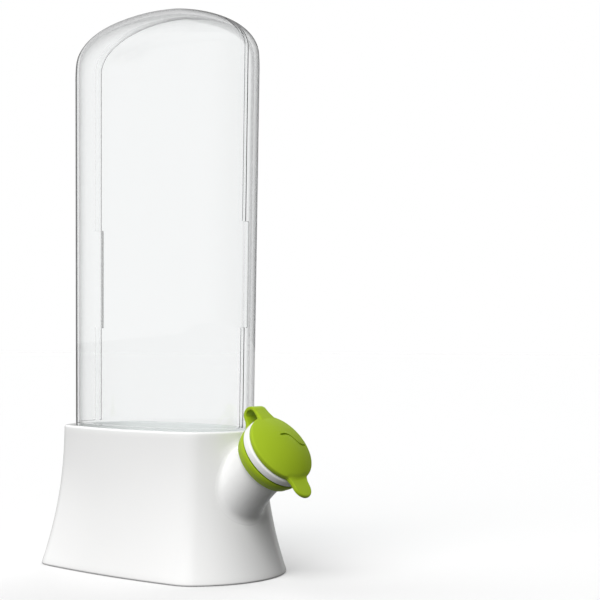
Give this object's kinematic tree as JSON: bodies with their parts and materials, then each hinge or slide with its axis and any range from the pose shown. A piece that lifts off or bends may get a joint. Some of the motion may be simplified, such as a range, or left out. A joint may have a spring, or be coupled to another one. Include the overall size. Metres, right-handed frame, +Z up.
{
  "type": "herb storage container",
  "caption": "Tall herb keeper: a clear domed pod with a snap-in door and a stem basket stands in a flared white water base with a tilted filling spout and a tethered green cap.",
  "frame": {"origin": "on the ground at the middle of the base's foot", "axes": "+Z up along the pod, +X towards the filling spout, -Y towards the removable door"},
  "size_m": [0.1601, 0.0776, 0.275],
  "materials": {
    "base_white": "glossy white ABS",
    "pod_clear": "clear polished styrene copolymer",
    "basket_white": "satin white polypropylene",
    "cap_green": "satin apple-green silicone"
  },
  "bodies": {
    "base": {"base_shell": "base_white", "base_floor": "base_white", "spout_neck": "base_white", "anchor_ring": "cap_green", "cap_strap": "cap_green"},
    "pod": {"pod_back_shell": "pod_clear", "stem_basket": "basket_white"},
    "door": {"pod_door": "pod_clear"},
    "cap": {"spout_cap": "cap_green"}
  },
  "joints": [
    {"name": "pod_lift", "type": "slide", "parent": "base", "child": "pod", "axis": [0, 0, 1], "range_m": [0, 0.08]},
    {"name": "door_pull", "type": "slide", "parent": "pod", "child": "door", "axis": [0, -1, 0], "range_m": [0, 0.07]},
    {"name": "cap_hinge", "type": "hinge", "parent": "base", "child": "cap", "pos_m": [0.06231, 0, 0.07608], "axis": [0, -1, 0], "range_deg": [0, 110], "deforming": ["cap_strap"]}
  ]
}
